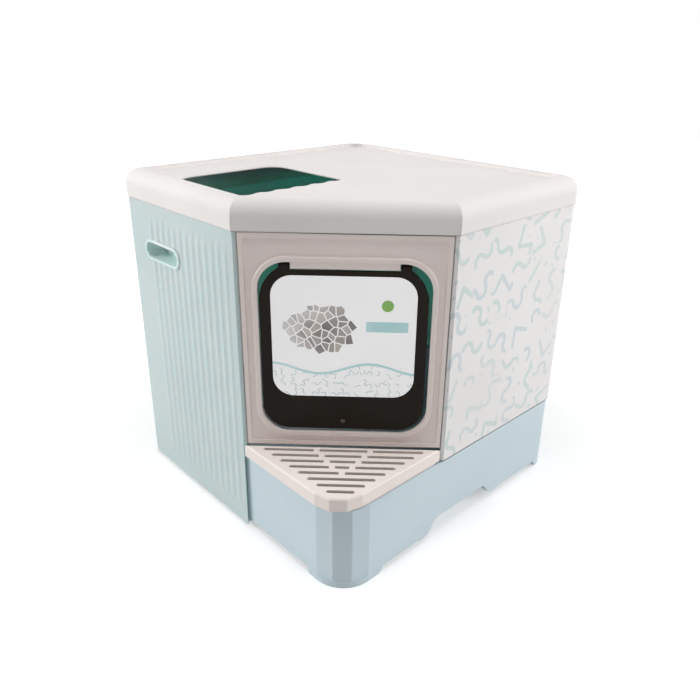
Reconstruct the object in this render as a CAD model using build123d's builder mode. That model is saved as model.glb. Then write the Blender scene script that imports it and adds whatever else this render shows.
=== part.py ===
"""Covered corner litter box: panelled housing, lift-off lid, swing flap, pull-out drawer and paw grate.

Millimetres. +Z is up and the origin is on the floor, under the middle of the lid. The drawer pulls out
along -Y, the ribbed left wall is at -X, and the doorway crosses the cut corner between them.
"""
import os
from math import atan2, cos, degrees, pi, sin, sqrt

from build123d import *

os.makedirs("parts", exist_ok=True)

# Overall body
side = 400.0  # width and depth over the lid
height = 400.0  # floor to the rim of the lid
corner_cut = 163.0  # taken off each side at the cut front corner
overrun = 30.0  # spare length of every cut

# Lid
lid_height = 32.0
lid_wall = 2.8
lid_rim_radius = 17.0  # large round along the top edge
lid_rim_width = 19.5  # outline to the edge of the recessed deck
lid_recess = 5.5
lid_deck = 3.0
lid_cavity_slope = 9.0  # sloped corner inside the rim
lid_gap = 0.6  # lid's lower edge to the panels' shoulders

# Top entry, measured from the middle of the lid
entry_left = -168.0
entry_right = -17.0
entry_front = -3.0
entry_back = 127.0
entry_corner = 26.0
entry_scallops = 6
entry_scallop_depth = 7.5
entry_rim_width = 4.0  # slope round the entry
entry_rim_depth = 1.8

# Panels of the housing
panel_inset = 1.2  # lid's outline to the panels' outer faces
panel_wall = 3.0
panel_seam = 0.3  # gap between neighbouring panels
rear_corner_radius = 18.0
far_corner_radius = 40.0  # corner across from the doorway
front_corner_radius = 20.0
seam_offset = 25.0  # upright seams to the corners of the square
far_seam_offset = 47.0  # the same, at the far corner
seam_bend = 1.2  # outer round of an edge at a seam
flange_depth = 12.0  # inward edge of a panel, from its outer face
wall_bottom = 4.5
lip_clearance = 0.4  # panels' lips to the lid's skirt
lip_height = 11.0
lip_root = 10.0
lip_margin = 14.0
panel_foot_flange = 2.0
panel_foot_reach = 18.0  # lid's outline to the inner edge of the foot flange
panel_foot_margin = 8.0
pad_length = 34.0
pad_inset = 9.0  # lid's outline to the outer side of a pad
pad_width = 8.0
stiffener_wall = 2.5
stiffener_reach = 13.0
stiffener_margin = 6.0

# Ribs on the mint walls
rib_pitch = 13.0
rib_width = 8.6
rib_height = 0.8
rib_flats = 4  # flats about a rib's round
rib_foot = 26.0  # floor to the lower ends
rib_head = 14.0  # lid's lower edge to the upper ends
rib_end_margin = 8.0
rib_fade = 16.0  # length over which an end sinks into the wall
rib_corner_margin = 58.0

# Hand grips
grip_length = 78.0
grip_height = 25.0
grip_border = 1.6
grip_rise = 2.6
grip_edge_slope = 1.0
grip_wall = 1.4
grip_depth = 21.0  # panel's outer face to the bottom of the cup
grip_play = 0.2
grip_rear = 88.8  # rear wall's outer face to the grip's middle
grip_drop = 56.4  # panels' shoulders to the grip's middle

# Front panel and drawer zone
front_panel_bottom = 102.0

# Door panel
door_strip = 5.26  # turned edge of the panel at each side of the door
door_inset = 3.2  # lid's outline to the panel's field
door_bottom = 119.0
door_border = 5.6
door_border_rise = 2.2
door_border_corner = 3.0
opening_width = 183.0
opening_sill = 18.0  # panel's lower edge to the doorway
opening_head = 30.4  # panel's shoulder to the doorway
opening_corner = 31.0
bead_width = 6.0
bead_rise = 3.0
bead_slope = 1.5
header_width = 113.0
header_radius = 3.5
header_root = 6.0  # overlap of the header with the panel above the doorway

# Flap
hinge_drop = 4.8  # doorway's upper edge to the hinge line
hinge_depth = 4.7  # lid's outline to the hinge line
pin_radius = 1.5
pin_running_clearance = 0.05
pin_seat_clearance = 0.02
pin_engagement = 7.0  # length in the header
pin_seat = 8.0  # length in the flap
pin_end_gap = 0.5
flap_wall = 3.0
flap_width = 178.0
flap_shift = -1.2  # the leaf hangs a little to the left in its doorway
flap_foot_gap = 3.5  # doorway's lower edge to the leaf
flap_ear = 2.4  # hinge line to the top of the ears
flap_corner = 29.0
flap_shoulder = 8.5  # header's ends to where the leaf's upper rounds start
flap_header_gap = 1.2
knuckle_radius = 3.2
knuckle_length = 11.0
label_width = 154.0
label_corner = 23.0
label_head_gap = 5.5  # leaf's upper edge to the label
label_foot_gap = 41.5  # leaf's lower edge to the label
label_sheet = 0.3
stud_radius = 2.6
stud_rise = 0.9
stud_shank_radius = 1.4
stud_foot_gap = 10.5  # leaf's lower edge to the stud

# Panel clips
clip_wall = 1.6
clip_arm = 8.0
clip_length = 24.0
clip_play = 0.05
clip_rows = 3
clip_end_gap = 34.0  # ends of the door panel to the outer clips

# Drawer
drawer_clearance = 1.0  # to the walls beside it
drawer_bottom = 7.2
drawer_top = 101.0
drawer_top_gap = 0.6  # to what it passes under
drawer_wall = 3.0
drawer_floor = 3.0
drawer_corner = 40.0  # reach of the faceted front left corner
drawer_corner_facets = 3
drawer_facet_round = 4.0
drawer_front_round = 20.0
drawer_bottom_slope = 1.2
notch_middle = 4.0
notch_foot_width = 121.0
notch_head_width = 94.0
notch_height = 18.0
notch_depth = 22.0
notch_round = 10.0
front_foot_length = 57.0
front_foot_width = 62.0
side_foot_length = 27.0
foot_wall = 9.0
foot_slope = 5.5
rear_foot_length = 30.0
rear_foot_width = 18.0
rear_foot_spacing = 280.0
rear_foot_inset = 26.0

# Grate
grate_top = 118.0
grate_gap = 0.3  # to the drawer's rim and to the doorway's face
grate_deck = 3.0
grate_edge_slope = 1.5
grate_shadow_slope = 1.6  # undercut along the skirt's lower edge
grate_front_inset = 2.3  # drawer's front to the grate's
grate_corner = 35.0
grate_lip_wall = 2.0
grate_lip_drop = 6.0
grate_lip_play = 0.4
slot_rows = 8
slot_width = 4.6
slot_end_cut = 1.4  # corners cut off a slot's ends
slot_pitch = 10.8
slot_first = 7.8  # doorway's face to the first row
slot_reach = 90.5  # half length of the first row
slot_bridge = 6.6
slot_middle_reach = 27.0  # half length of the middle slot in the first row
slot_middle_step = 6.4
slot_divided_rows = 4

# Places worked out from the sizes above
half = side / 2
sheet = half - panel_inset  # panels' outer faces
inner = sheet - panel_wall  # panels' inner faces
facet_sum = side - corner_cut  # on the lid's cut face, x + y is minus this
turn = sheet - (facet_sum - panel_inset * sqrt(2))  # y of the bend where the left wall turns
seam = half - seam_offset
half_seam = panel_seam / 2
far_seam = half - far_seam_offset
door_width = corner_cut * sqrt(2) - 2 * door_strip
door_half = door_width / 2
lid_bottom = height - lid_height
rib_top = lid_bottom - rib_head
panel_top = lid_bottom - lid_gap
deck_top = height - lid_recess
deck_bottom = deck_top - lid_deck
lip_depth = lid_wall + lip_clearance
root_depth = panel_inset + panel_wall / 2  # middle of a panel's wall
door_root_depth = door_inset + panel_wall / 2
cup_length = grip_length - 2 * grip_border
cup_height = grip_height - 2 * grip_border
drawer_side = inner - drawer_clearance
drawer_ceiling = drawer_top + drawer_top_gap
opening_top = panel_top - opening_head
opening_bottom = door_bottom + opening_sill
opening_height = opening_top - opening_bottom
opening_middle = (opening_top + opening_bottom) / 2
rear_inner_radius = rear_corner_radius - panel_wall
far_inner_radius = far_corner_radius - panel_wall
hinge_level = opening_top - hinge_drop
flap_bottom = opening_bottom + flap_foot_gap
flap_top = hinge_level + flap_ear
leaf_head = hinge_level - header_radius - flap_header_gap
flap_head_corner = (flap_width - header_width) / 2 + flap_shoulder  # wide, so that the ears swing clear
stud_level = flap_bottom + stud_foot_gap
label_bottom = flap_bottom + label_foot_gap
label_height = leaf_head - label_head_gap - label_bottom

facet = Plane(origin=(-facet_sum / 2, -facet_sum / 2, 0), x_dir=(1, -1, 0), z_dir=(-1, -1, 0))
hinge = Plane(origin=(-facet_sum / 2, -facet_sum / 2, hinge_level), x_dir=(1, 1, 0), z_dir=(1, -1, 0))


def facet_point(along, depth):
    """Plan point on the cut corner, a distance along it and a depth inside the lid's outline."""
    back = facet_sum / 2 - depth / sqrt(2)
    return (along / sqrt(2) - back, -along / sqrt(2) - back)


def edge_plane(x, y, inward, level):
    """Level plane whose origin is on the outline, with its Y axis pointing into the box."""
    return Plane(origin=(x, y, level), x_dir=(inward[1], -inward[0], 0), z_dir=(0, 0, 1))


def panel_profile(points, corner_radii, bends):
    """Plan section of a bent panel whose outer face follows the points, rounded at its seams."""
    with BuildSketch() as profile:
        with BuildLine():
            FilletPolyline(*points, radius=corner_radii)
            offset(amount=panel_wall, side=Side.LEFT)
        make_face()
        fillet([profile.vertices().sort_by_distance(bend)[0] for bend in bends], radius=seam_bend)
    return profile.sketch


def level_bar(span, margin, depth, width):
    """Plan rectangle along a panel, for its lip, foot flange or stiffener."""
    with BuildSketch() as bar:
        with Locations(((span[0] + span[1]) / 2, depth + width / 2)):
            Rectangle(span[1] - span[0] - 2 * margin, width)
    return bar.sketch


def pad_pair(span, margin):
    """Plan rectangles of the two pads that a wall stands on."""
    with BuildSketch() as pads:
        with Locations(
            (span[0] + margin + pad_length / 2, pad_inset + pad_width / 2),
            (span[1] - margin - pad_length / 2, pad_inset + pad_width / 2),
        ):
            Rectangle(pad_length, pad_width)
    return pads.sketch


def rib_row(span, near_margin, far_margin):
    """Plan sections of the upright rounded ribs that fill a panel between two margins."""
    room = span[1] - span[0] - near_margin - far_margin - rib_width
    steps = int(room / rib_pitch)
    first = (span[0] + near_margin + span[1] - far_margin - steps * rib_pitch - rib_width) / 2
    with BuildSketch() as row:
        for number in range(steps + 1):
            near = first + number * rib_pitch
            points = [(near, root_depth)]
            for step in range(rib_flats + 1):
                rise = rib_height * sin(step * pi / rib_flats)
                points.append((near + step * rib_width / rib_flats, panel_inset - rise))
            points.append((near + rib_width, root_depth))
            with BuildLine():
                Polyline(*points, close=True)
            make_face()
    return row.sketch


def rib_ends(edge):
    """Wedges that sink both ends of a panel's ribs into its outer face."""
    x, y, inward = edge
    crest = panel_inset - rib_height
    upright = Plane(origin=(x, y, 0), x_dir=(*inward, 0), z_dir=(inward[1], -inward[0], 0))
    with BuildPart() as wedges:
        with BuildSketch(upright):
            for end, along in ((rib_top, -rib_fade), (rib_foot, rib_fade)):
                with BuildLine():
                    Polyline((panel_inset, end), (crest, end + along), (crest, end), close=True)
                make_face()
        extrude(amount=half, both=True)
    return wedges.part


def rounded_opening(width, tall, corner):
    """Rounded rectangle centred on the doorway, in the cut face's own coordinates."""
    with BuildSketch() as shape:
        with Locations((0, opening_middle)):
            RectangleRounded(width, tall, corner)
    return shape.sketch


def faceted_corner(x, y, reach):
    """Points of a front left corner, cut in equal flats about a quarter circle."""
    points = []
    for step in range(drawer_corner_facets + 1):
        angle = pi + step * pi / 2 / drawer_corner_facets
        points.append((x + reach + reach * cos(angle), y + reach + reach * sin(angle)))
    return points


def drawer_outline(corner, rounds):
    """Plan outline of the drawer, flush with the front panel, with the given front left corner."""
    points = [(-drawer_side, drawer_side), *corner, (drawer_side, -sheet), (drawer_side, drawer_side)]
    radii = [rear_inner_radius, *[rounds] * len(corner), drawer_front_round, far_inner_radius]
    with BuildSketch() as outline:
        with BuildLine():
            FilletPolyline(*points, radius=radii, close=True)
        make_face()
    return outline.sketch


def grate_outline(left, front, corner_reach):
    """Plan outline of the paw grate, which fills the corner in front of the doorway, or of its lip."""
    reach = facet_sum + grate_gap * sqrt(2)
    corner = faceted_corner(left, front, corner_reach)
    points = [(left, -left - reach), *corner, (-front - reach, front)]
    radii = [0, *[drawer_facet_round] * len(corner), 0]
    with BuildSketch() as outline:
        with BuildLine():
            FilletPolyline(*points, radius=radii, close=True)
        make_face()
    return outline.sketch


def slot_outline(length):
    """Plan outline of a slot, with its corners cut off."""
    with BuildSketch() as outline:
        Rectangle(length, slot_width)
        chamfer(outline.vertices(), length=slot_end_cut)
    return outline.sketch


def lid_outline():
    """Plan outline of the lid: a square with one corner cut off and the others rounded."""
    cut_end = half - facet_sum
    points = [(-half, half), (-half, cut_end), (cut_end, -half), (half, -half), (half, half)]
    rear_radius = rear_corner_radius + panel_inset
    radii = [rear_radius, 0, 0, front_corner_radius + panel_inset, far_corner_radius + panel_inset]
    with BuildSketch() as outline:
        with BuildLine():
            FilletPolyline(*points, radius=radii, close=True)
        make_face()
    return outline.sketch


def entry_outline():
    """Plan outline of the top entry, with a scalloped front edge."""
    pitch = (entry_right - entry_left) / entry_scallops
    with BuildSketch() as outline:
        with BuildLine():
            for number in range(entry_scallops):
                start = entry_left + number * pitch
                ThreePointArc(
                    (start, entry_front),
                    (start + pitch / 2, entry_front - entry_scallop_depth),
                    (start + pitch, entry_front),
                )
            Polyline(
                (entry_right, entry_front),
                (entry_right, entry_back),
                (entry_left, entry_back),
                (entry_left, entry_front),
            )
        make_face()
        fillet(outline.vertices().group_by(Axis.Y)[-1], radius=entry_corner)
    return outline.sketch


def drawer_zone():
    """Plan of the space that the drawer slides in, between the walls."""
    points = [(-inner, inner), (-inner, -inner), (inner, -inner), (inner, inner)]
    radii = [rear_inner_radius, rear_inner_radius, rear_inner_radius, far_inner_radius]
    with BuildSketch() as zone:
        with BuildLine():
            FilletPolyline(*points, radius=radii, close=True)
        make_face()
    return zone.sketch


def grip_plane(sign):
    """Upright plane on a side wall's outer face, centred on its hand grip, facing out."""
    middle = (sign * sheet, sheet - grip_rear, panel_top - grip_drop)
    return Plane(origin=middle, x_dir=(0, sign, 0), z_dir=(sign, 0, 0))


# Straight stretch of each panel, along its own edge plane
left_span = (rear_corner_radius - sheet, -turn)
right_span = (-seam, sheet - far_corner_radius)
back_span = (-far_seam, seam)
front_span = (turn, sheet - front_corner_radius)
door_span = (-door_half, door_half)

# Inward direction of each panel and a point on the lid's outline there
left_edge = (-half, 0, (1, 0))
right_edge = (half, 0, (-1, 0))
back_edge = (0, half, (0, -1))
front_edge = (0, -half, (0, 1))
door_edge = (*facet_point(0, 0), (1, 1))

# Left wall: turns round the rear corner and into the cut corner
left_points = [
    (-seam - half_seam, sheet - flange_depth),
    (-seam - half_seam, sheet),
    (-sheet, sheet),
    (-sheet, turn),
    facet_point(-door_half - half_seam, panel_inset),
    facet_point(-door_half - half_seam, panel_inset + flange_depth),
]
left_bends = [left_points[1], left_points[4]]
left_profile = panel_profile(left_points, [0, rear_corner_radius, 0, 0], left_bends)
left_rib_ends = rib_ends(left_edge)
with BuildPart() as left_wall:
    with BuildSketch(Plane.XY.offset(wall_bottom)):
        add(left_profile)
    extrude(amount=panel_top - wall_bottom)
    with BuildSketch(edge_plane(*left_edge, rib_foot)):
        add(rib_row(left_span, rib_corner_margin - rear_corner_radius, rib_end_margin))
    extrude(amount=rib_top - rib_foot)
    add(left_rib_ends, mode=Mode.SUBTRACT)
    with BuildSketch():
        add(drawer_zone())
    extrude(amount=drawer_ceiling, mode=Mode.SUBTRACT)
    with BuildSketch(edge_plane(-sheet, turn, (1, 1), 0)):
        Rectangle(overrun, overrun, align=(Align.MIN, Align.CENTER))
    extrude(amount=drawer_ceiling, mode=Mode.SUBTRACT)
    with BuildSketch(edge_plane(*left_edge, panel_top - lip_root)):
        add(level_bar(left_span, lip_margin, lip_depth, panel_wall))
    extrude(amount=lip_root + lip_height)
    with BuildSketch(edge_plane(*left_edge, wall_bottom)):
        add(level_bar(left_span, panel_foot_margin, root_depth, panel_foot_reach - root_depth))
    extrude(amount=panel_foot_flange)
    with BuildSketch(edge_plane(*left_edge, 0)):
        add(pad_pair(left_span, panel_foot_margin))
    extrude(amount=wall_bottom)
    with BuildSketch(grip_plane(-1)):
        Rectangle(grip_length + 2 * grip_play, grip_height + 2 * grip_play)
    extrude(amount=overrun, mode=Mode.SUBTRACT)
    with BuildSketch(grip_plane(-1)):
        SlotOverall(cup_length + 2 * grip_play, cup_height + 2 * grip_play)
    extrude(amount=-overrun, mode=Mode.SUBTRACT)
left_wall.part.label = "left_wall"
export_step(left_wall.part, "parts/left_wall.step")

# Right wall: the left wall's partner, from the front seam round the rear corner
right_points = [
    (sheet - flange_depth, half_seam - seam),
    (sheet, half_seam - seam),
    (sheet, sheet),
    (far_seam + half_seam, sheet),
    (far_seam + half_seam, sheet - flange_depth),
]
right_bends = [right_points[1], right_points[3]]
right_profile = panel_profile(right_points, [0, far_corner_radius, 0], right_bends)
right_rib_ends = rib_ends(right_edge)
with BuildPart() as right_wall:
    with BuildSketch(Plane.XY.offset(wall_bottom)):
        add(right_profile)
    extrude(amount=panel_top - wall_bottom)
    with BuildSketch(edge_plane(*right_edge, rib_foot)):
        add(rib_row(right_span, rib_end_margin, rib_end_margin))
    extrude(amount=rib_top - rib_foot)
    add(right_rib_ends, mode=Mode.SUBTRACT)
    with BuildSketch():
        add(drawer_zone())
    extrude(amount=drawer_ceiling, mode=Mode.SUBTRACT)
    with BuildSketch(edge_plane(*right_edge, panel_top - lip_root)):
        add(level_bar(right_span, lip_margin, lip_depth, panel_wall))
    extrude(amount=lip_root + lip_height)
    with BuildSketch(edge_plane(*right_edge, wall_bottom)):
        add(level_bar(right_span, panel_foot_margin, root_depth, panel_foot_reach - root_depth))
    extrude(amount=panel_foot_flange)
    with BuildSketch(edge_plane(*right_edge, 0)):
        add(pad_pair(right_span, panel_foot_margin))
    extrude(amount=wall_bottom)
    with BuildSketch(grip_plane(1)):
        Rectangle(grip_length + 2 * grip_play, grip_height + 2 * grip_play)
    extrude(amount=overrun, mode=Mode.SUBTRACT)
    with BuildSketch(grip_plane(1)):
        SlotOverall(cup_length + 2 * grip_play, cup_height + 2 * grip_play)
    extrude(amount=-overrun, mode=Mode.SUBTRACT)
right_wall.part.label = "right_wall"
export_step(right_wall.part, "parts/right_wall.step")

# Back wall: between the two rear seams
back_points = [
    (far_seam - half_seam, sheet - flange_depth),
    (far_seam - half_seam, sheet),
    (half_seam - seam, sheet),
    (half_seam - seam, sheet - flange_depth),
]
back_profile = panel_profile(back_points, [0, 0], back_points[1:3])
back_rib_ends = rib_ends(back_edge)
with BuildPart() as back_wall:
    with BuildSketch(Plane.XY.offset(wall_bottom)):
        add(back_profile)
    extrude(amount=panel_top - wall_bottom)
    with BuildSketch(edge_plane(*back_edge, rib_foot)):
        add(rib_row(back_span, rib_end_margin, rib_end_margin))
    extrude(amount=rib_top - rib_foot)
    add(back_rib_ends, mode=Mode.SUBTRACT)
    with BuildSketch():
        add(drawer_zone())
    extrude(amount=drawer_ceiling, mode=Mode.SUBTRACT)
    with BuildSketch(edge_plane(*back_edge, panel_top - lip_root)):
        add(level_bar(back_span, lip_margin, lip_depth, panel_wall))
    extrude(amount=lip_root + lip_height)
    with BuildSketch(edge_plane(*back_edge, wall_bottom)):
        add(level_bar(back_span, panel_foot_margin, root_depth, panel_foot_reach - root_depth))
    extrude(amount=panel_foot_flange)
    with BuildSketch(edge_plane(*back_edge, 0)):
        add(pad_pair(back_span, panel_foot_margin))
    extrude(amount=wall_bottom)
back_wall.part.label = "back_wall"
export_step(back_wall.part, "parts/back_wall.step")

# Front panel: from the cut corner round the front right corner, above the drawer
front_points = [
    facet_point(door_half + half_seam, panel_inset + flange_depth),
    facet_point(door_half + half_seam, panel_inset),
    (turn, -sheet),
    (sheet, -sheet),
    (sheet, -seam - half_seam),
    (sheet - flange_depth, -seam - half_seam),
]
front_bends = [front_points[1], front_points[4]]
front_profile = panel_profile(front_points, [0, 0, front_corner_radius, 0], front_bends)
with BuildPart() as front_panel:
    with BuildSketch(Plane.XY.offset(front_panel_bottom)):
        add(front_profile)
    extrude(amount=panel_top - front_panel_bottom)
    with BuildSketch(edge_plane(*front_edge, panel_top - lip_root)):
        add(level_bar(front_span, lip_margin, lip_depth, panel_wall))
    extrude(amount=lip_root + lip_height)
    with BuildSketch(edge_plane(*front_edge, front_panel_bottom)):
        add(level_bar(front_span, stiffener_margin, root_depth, stiffener_reach - root_depth))
    extrude(amount=stiffener_wall)
front_panel.part.label = "front_panel"
export_step(front_panel.part, "parts/front_panel.step")

# Door panel: raised border, beaded doorway and the header that the flap hangs from
door_points = [
    facet_point(-door_half, door_inset + flange_depth),
    facet_point(-door_half, door_inset),
    facet_point(door_half, door_inset),
    facet_point(door_half, door_inset + flange_depth),
]
door_profile = panel_profile(door_points, [0, 0], [])
door_height = panel_top - door_bottom
door_middle = (panel_top + door_bottom) / 2
with BuildPart() as door_panel:
    with BuildSketch(Plane.XY.offset(door_bottom)):
        add(door_profile)
    extrude(amount=door_height)
    with BuildSketch(facet.offset(-door_inset)):
        with Locations((0, door_middle)):
            Rectangle(door_width, door_height)
            RectangleRounded(
                door_width - 2 * door_border,
                door_height - 2 * door_border,
                door_border_corner,
                mode=Mode.SUBTRACT,
            )
    extrude(amount=door_border_rise)
    with BuildSketch(facet.offset(-door_inset)):
        add(
            rounded_opening(
                opening_width + 2 * bead_width,
                opening_height + 2 * bead_width,
                opening_corner + bead_width,
            )
        )
    extrude(amount=bead_rise)
    bead_face = door_panel.faces().sort_by(Axis((0, 0, 0), facet.z_dir))[-1]
    chamfer(bead_face.edges(), length=bead_slope)
    with BuildSketch(facet):
        add(rounded_opening(opening_width, opening_height, opening_corner))
    extrude(amount=-overrun, mode=Mode.SUBTRACT)
    with BuildSketch(hinge):
        with Locations((hinge_depth, 0)):
            Circle(header_radius)
            Rectangle(
                2 * header_radius,
                opening_top - hinge_level + header_root,
                align=(Align.CENTER, Align.MIN),
            )
    extrude(amount=header_width / 2, both=True)
    for end in (-1, 1):
        with BuildSketch(hinge.offset(end * header_width / 2)):
            with Locations((hinge_depth, 0)):
                Circle(pin_radius + pin_running_clearance)
        extrude(amount=-end * (pin_engagement + pin_end_gap), mode=Mode.SUBTRACT)
    with BuildSketch(edge_plane(*door_edge, panel_top - lip_root)):
        add(level_bar(door_span, lip_margin, lip_depth, panel_wall))
    extrude(amount=lip_root + lip_height)
    with BuildSketch(edge_plane(*door_edge, door_bottom)):
        add(level_bar(door_span, stiffener_margin, door_root_depth, stiffener_reach - door_root_depth))
    extrude(amount=stiffener_wall)
door_panel.part.label = "door_panel"
export_step(door_panel.part, "parts/door_panel.step")

# Hand grips: oblong cups with a raised border
with BuildPart() as left_grip:
    with BuildSketch(grip_plane(-1)):
        SlotOverall(grip_length, grip_height)
    extrude(amount=grip_rise)
    chamfer(left_grip.faces().sort_by(Axis.X)[0].edges(), length=grip_edge_slope)
    with BuildSketch(grip_plane(-1)):
        SlotOverall(cup_length, cup_height)
    extrude(amount=-grip_depth)
    with BuildSketch(grip_plane(-1).offset(overrun)):
        SlotOverall(cup_length - 2 * grip_wall, cup_height - 2 * grip_wall)
    extrude(amount=grip_wall - grip_depth - overrun, mode=Mode.SUBTRACT)
left_grip.part.label = "left_grip"
export_step(left_grip.part, "parts/left_grip.step")

with BuildPart() as right_grip:
    with BuildSketch(grip_plane(1)):
        SlotOverall(grip_length, grip_height)
    extrude(amount=grip_rise)
    chamfer(right_grip.faces().sort_by(Axis.X)[-1].edges(), length=grip_edge_slope)
    with BuildSketch(grip_plane(1)):
        SlotOverall(cup_length, cup_height)
    extrude(amount=-grip_depth)
    with BuildSketch(grip_plane(1).offset(overrun)):
        SlotOverall(cup_length - 2 * grip_wall, cup_height - 2 * grip_wall)
    extrude(amount=grip_wall - grip_depth - overrun, mode=Mode.SUBTRACT)
right_grip.part.label = "right_grip"
export_step(right_grip.part, "parts/right_grip.step")

# Panel clips: spring clips pushed over each pair of inward edges
clip_gap = 2 * panel_wall + panel_seam + 2 * clip_play
clip_seats = [
    (edge_plane(-seam, sheet, (0, -1), 0), flange_depth),
    (edge_plane(far_seam, sheet, (0, -1), 0), flange_depth),
    (edge_plane(sheet, -seam, (-1, 0), 0), flange_depth),
    (edge_plane(*facet_point(-door_half, panel_inset), (1, 1), 0), door_inset - panel_inset + flange_depth),
    (edge_plane(*facet_point(door_half, panel_inset), (1, 1), 0), door_inset - panel_inset + flange_depth),
]
clip_lowest = door_bottom + clip_end_gap
clip_step = (panel_top - clip_end_gap - clip_lowest) / (clip_rows - 1)
with BuildPart() as panel_clips:
    for seat, depth in clip_seats:
        for row in range(clip_rows):
            with BuildSketch(seat.offset(clip_lowest + row * clip_step - clip_length / 2)):
                with Locations((0, depth + clip_play + clip_wall)):
                    Rectangle(
                        clip_gap + 2 * clip_wall,
                        clip_wall + clip_arm,
                        align=(Align.CENTER, Align.MAX),
                    )
                with Locations((0, depth + clip_play)):
                    Rectangle(clip_gap, clip_arm, align=(Align.CENTER, Align.MAX), mode=Mode.SUBTRACT)
            extrude(amount=clip_length)
panel_clips.part.label = "panel_clips"
export_step(panel_clips.part, "parts/panel_clips.step")

# Lid: rounded rim, recessed deck and the scalloped top entry
entry = entry_outline()
entry_rim_angle = degrees(atan2(entry_rim_width, entry_rim_depth))
with BuildPart() as lid:
    with BuildSketch(Plane.XY.offset(lid_bottom)):
        add(lid_outline())
    extrude(amount=lid_height)
    fillet(lid.faces().sort_by(Axis.Z)[-1].edges(), radius=lid_rim_radius)
    with BuildSketch(Plane.XY.offset(lid_bottom)):
        add(lid_outline())
        offset(amount=-lid_wall)
    extrude(amount=deck_bottom - lid_cavity_slope - lid_bottom, mode=Mode.SUBTRACT)
    with BuildSketch(Plane.XY.offset(deck_bottom - lid_cavity_slope)):
        add(lid_outline())
        offset(amount=-lid_wall)
    extrude(amount=lid_cavity_slope, taper=45, mode=Mode.SUBTRACT)
    with BuildSketch(Plane.XY.offset(height)):
        add(lid_outline())
        offset(amount=-lid_rim_width)
    extrude(amount=-lid_recess, mode=Mode.SUBTRACT)
    with BuildSketch(Plane.XY.offset(height)):
        add(entry)
    extrude(amount=-overrun, mode=Mode.SUBTRACT)
    with BuildSketch(Plane.XY.offset(deck_top - entry_rim_depth)) as rim:
        with Locations((entry_left, entry_front)):
            Rectangle(entry_right - entry_left, entry_back - entry_front, align=(Align.MIN, Align.MIN))
        fillet(rim.vertices().group_by(Axis.Y)[-1], radius=entry_corner)
    extrude(amount=entry_rim_depth, taper=-entry_rim_angle, mode=Mode.SUBTRACT)
lid.part.label = "lid"
export_step(lid.part, "parts/lid.step")

# Drawer: litter pan with a finger notch under its front and feet at its corners
notch_foot = drawer_bottom - overrun
notch_points = [
    (-notch_foot_width / 2 - overrun, drawer_bottom),
    (-notch_foot_width / 2, drawer_bottom),
    (-notch_head_width / 2, drawer_bottom + notch_height),
    (notch_head_width / 2, drawer_bottom + notch_height),
    (notch_foot_width / 2, drawer_bottom),
    (notch_foot_width / 2 + overrun, drawer_bottom),
]
front_plane = Plane(origin=(notch_middle, -sheet, 0), x_dir=(1, 0, 0), z_dir=(0, -1, 0))
with BuildSketch() as notch:
    with BuildLine():
        FilletPolyline(*notch_points, radius=notch_round)
        Polyline(
            notch_points[-1],
            (notch_points[-1][0], notch_foot),
            (notch_points[0][0], notch_foot),
            notch_points[0],
        )
    make_face()
pan_corner = faceted_corner(-drawer_side, -sheet, drawer_corner)
pan_outline = drawer_outline(pan_corner, drawer_facet_round)
with BuildPart() as front_feet:
    with BuildSketch() as foot_plan:
        add(drawer_outline([(-drawer_side, -sheet)], drawer_corner))
        offset(amount=-foot_wall, mode=Mode.SUBTRACT)
        with BuildSketch(mode=Mode.INTERSECT):
            with Locations((-drawer_side, -sheet)):
                Rectangle(front_foot_width, front_foot_length, align=(Align.MIN, Align.MIN))
            with Locations((drawer_side, -sheet)):
                Rectangle(side_foot_length, side_foot_length, align=(Align.MAX, Align.MIN))
    extrude(amount=drawer_bottom + drawer_bottom_slope)
    foot_ends = [
        (foot_wall / 2 - drawer_side, front_foot_length - sheet, 0),
        (front_foot_width - drawer_side, foot_wall / 2 - sheet, 0),
        (drawer_side - foot_wall / 2, side_foot_length - sheet, 0),
        (drawer_side - side_foot_length, foot_wall / 2 - sheet, 0),
    ]
    chamfer([front_feet.edges().sort_by_distance(end)[0] for end in foot_ends], length=foot_slope)
with BuildPart() as drawer:
    with BuildSketch(Plane.XY.offset(drawer_bottom)):
        add(pan_outline)
    extrude(amount=drawer_top - drawer_bottom)
    chamfer(drawer.faces().sort_by(Axis.Z)[0].edges(), length=drawer_bottom_slope)
    with BuildSketch(Plane.XY.offset(drawer_bottom + drawer_floor)):
        add(pan_outline)
        offset(amount=-drawer_wall)
    extrude(amount=drawer_top, mode=Mode.SUBTRACT)
    with BuildSketch(front_plane):
        add(notch.sketch)
        offset(amount=drawer_wall)
        with Locations((0, drawer_bottom)):
            Rectangle(
                notch_foot_width + overrun,
                height,
                align=(Align.CENTER, Align.MIN),
                mode=Mode.INTERSECT,
            )
    extrude(amount=-notch_depth - drawer_wall)
    with BuildSketch(front_plane):
        add(notch.sketch)
    extrude(amount=-notch_depth, mode=Mode.SUBTRACT)
    add(front_feet.part)
    with BuildSketch():
        with Locations((0, drawer_side - rear_foot_inset)):
            with GridLocations(rear_foot_spacing, rear_foot_spacing, 2, 1):
                Rectangle(rear_foot_length, rear_foot_width)
    extrude(amount=drawer_bottom + drawer_floor)
drawer.part.label = "drawer"
export_step(drawer.part, "parts/drawer.step")

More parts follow.
